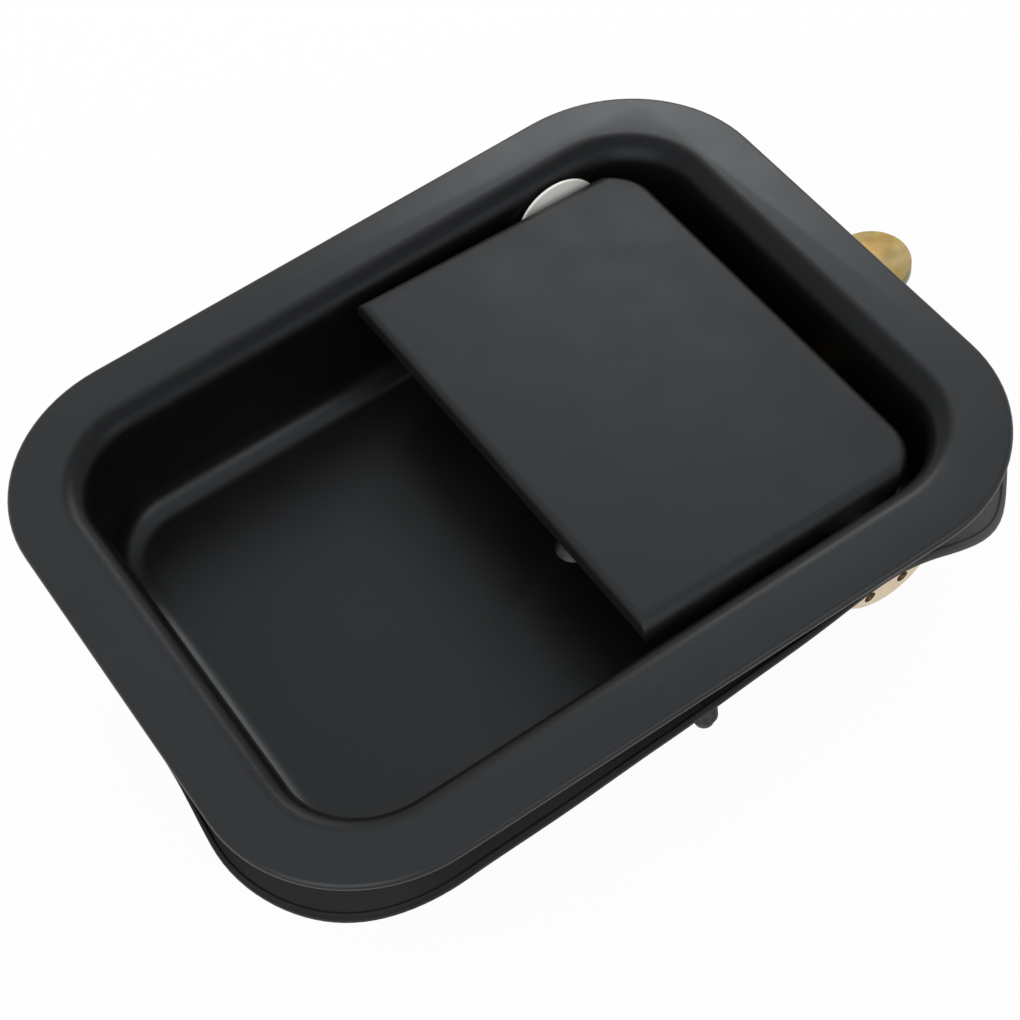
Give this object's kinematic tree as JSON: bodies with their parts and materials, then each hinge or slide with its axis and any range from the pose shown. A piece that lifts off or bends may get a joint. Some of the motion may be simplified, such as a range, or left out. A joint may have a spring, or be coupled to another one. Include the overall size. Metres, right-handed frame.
{
  "type": "recessed paddle door handle",
  "caption": "Recessed vehicle door handle: flanged steel pan with a finger pocket, a spring-closed hinged paddle, and a release lever on the back that a latch rod hooks into.",
  "frame": {"origin": "centre of the back face of the flange, the plane that seats towards the door skin", "axes": "+X along the handle towards the hinge end and the lever tip, +Y across the handle, +Z out of the door"},
  "size_m": [0.1459, 0.1014, 0.0339],
  "materials": {
    "satin_black": "satin powder coat",
    "black_rubber": "matt moulded rubber",
    "yellow_zinc": "yellow chromate on zinc plate",
    "white_nylon": "moulded nylon",
    "bright_steel": "bright zinc plate",
    "dark_steel": "black oxide"
  },
  "bodies": {
    "housing": {"pan_housing": "satin_black", "door_gasket": "black_rubber", "mounting_studs": "dark_steel", "pivot_ear_near": "yellow_zinc", "pivot_ear_far": "yellow_zinc", "pivot_bracket": "yellow_zinc", "bracket_rivets": "dark_steel", "pivot_bush_near": "white_nylon", "pivot_bush_far": "white_nylon", "thrust_washer": "white_nylon", "arm_bumper": "black_rubber", "lever_rivet": "yellow_zinc", "lever_washer": "bright_steel", "paddle_spring": "bright_steel", "lever_spring": "bright_steel"},
    "paddle": {"paddle": "satin_black", "paddle_arm": "satin_black", "pivot_pin": "bright_steel", "pin_clip": "bright_steel", "pin_washer": "bright_steel", "spring_spool": "white_nylon"},
    "lever": {"release_lever": "yellow_zinc", "lever_bush": "white_nylon"}
  },
  "joints": [
    {"name": "paddle_hinge", "type": "hinge", "parent": "housing", "child": "paddle", "pos_m": [0.0351, 0, -0.0072], "axis": [0, 1, 0], "range_deg": [0, 30], "stiffness_Nm_per_rad": 0.6, "springref_deg": -20.05, "deforming": ["paddle_spring"]},
    {"name": "lever_pivot", "type": "hinge", "parent": "housing", "child": "lever", "pos_m": [0.043, -0.001, -0.0243], "axis": [0, 0, -1], "range_deg": [0, 27], "stiffness_Nm_per_rad": 0.1, "springref_deg": -17.19, "deforming": ["lever_spring"]}
  ],
  "couplings": [
    {"joint": "lever_pivot", "follows": "paddle_hinge", "ratio": 0.88}
  ]
}
